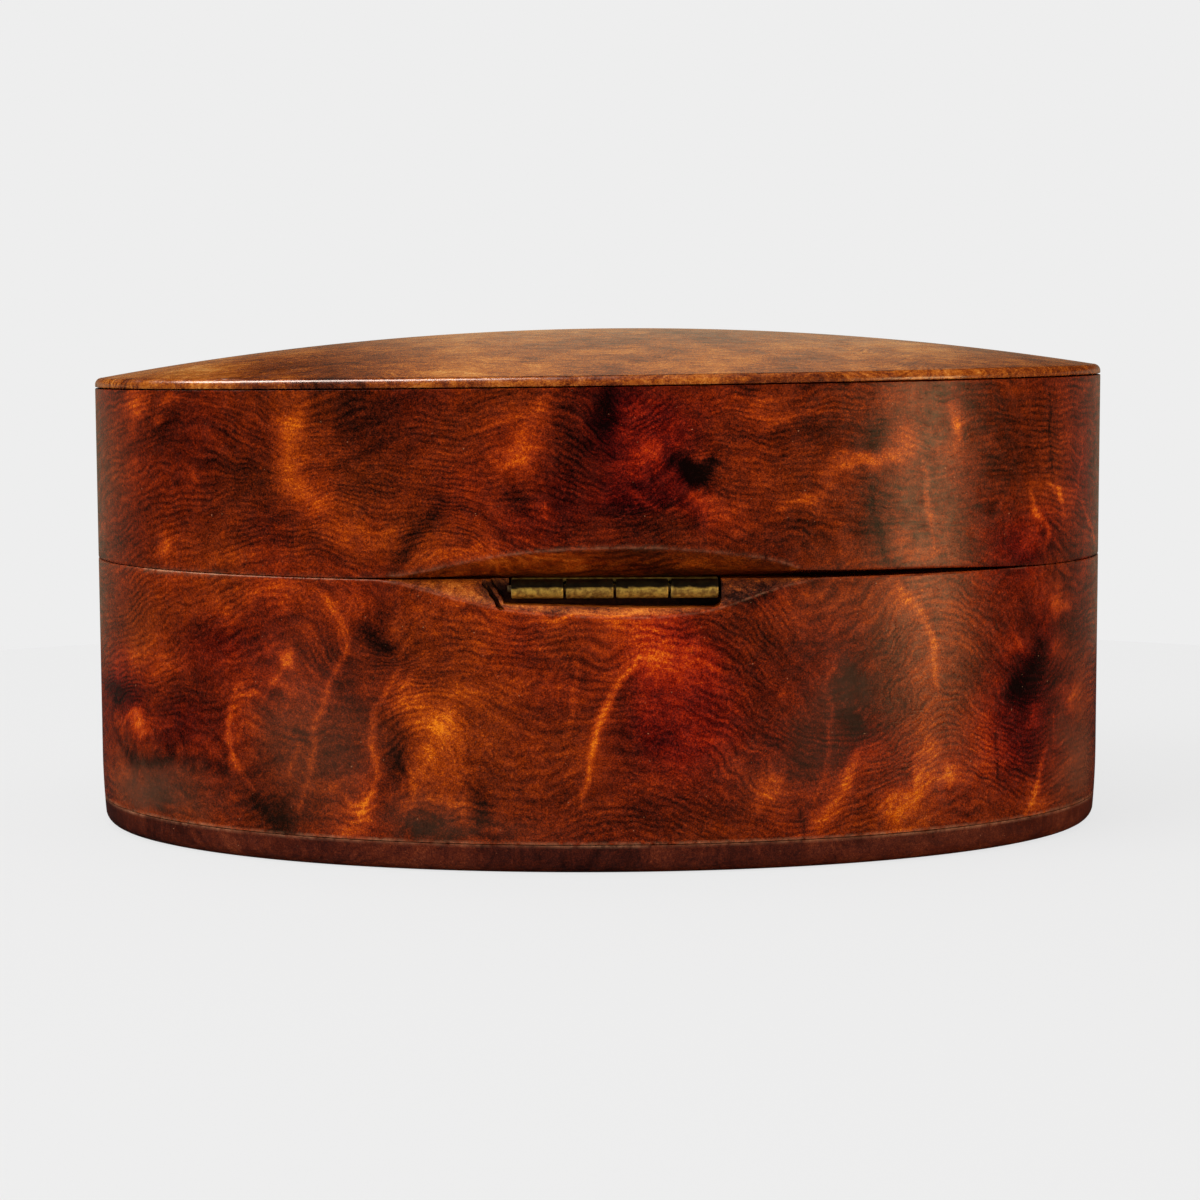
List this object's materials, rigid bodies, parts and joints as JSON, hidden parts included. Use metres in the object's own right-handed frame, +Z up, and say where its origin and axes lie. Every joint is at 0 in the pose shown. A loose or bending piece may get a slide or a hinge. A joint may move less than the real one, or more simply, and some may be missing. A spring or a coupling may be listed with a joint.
{
  "type": "oval wooden trinket box",
  "caption": "Small oval trinket box of burl wood with a domed hinged lid, a separate bottom plate and a brass butt hinge let into the back.",
  "frame": {"origin": "middle of the underside, on the surface that the box stands on", "axes": "+Z up, +X along the long side of the oval, +Y towards the back, where the hinge is"},
  "size_m": [0.12, 0.08, 0.0587],
  "materials": {
    "burl_wood": "waxed burl, satin",
    "burl_wood_base": "waxed burl, satin",
    "bottom_plate_wood": "dark stained wood, satin",
    "top_plate_wood": "lacquered wood, semi-gloss",
    "aged_brass": "dull, aged",
    "aged_brass_lid_leaf": "dull, aged",
    "hinge_pin_steel": "dull, brass coloured",
    "screw_brass": "plain"
  },
  "bodies": {
    "base": {"base_wall": "burl_wood_base", "bottom_plate": "bottom_plate_wood", "hinge_base_leaf": "aged_brass", "hinge_pin": "hinge_pin_steel", "base_screw_1": "screw_brass", "base_screw_2": "screw_brass"},
    "lid": {"lid_wall": "burl_wood", "lid_top": "top_plate_wood", "hinge_lid_leaf": "aged_brass_lid_leaf", "lid_screw_1": "screw_brass", "lid_screw_2": "screw_brass"}
  },
  "joints": [
    {"name": "lid_hinge", "type": "hinge", "parent": "base", "child": "lid", "pos_m": [-0.0016, 0.0369, 0.03075], "axis": [-1, 0, 0], "range_deg": [0, 95]}
  ]
}
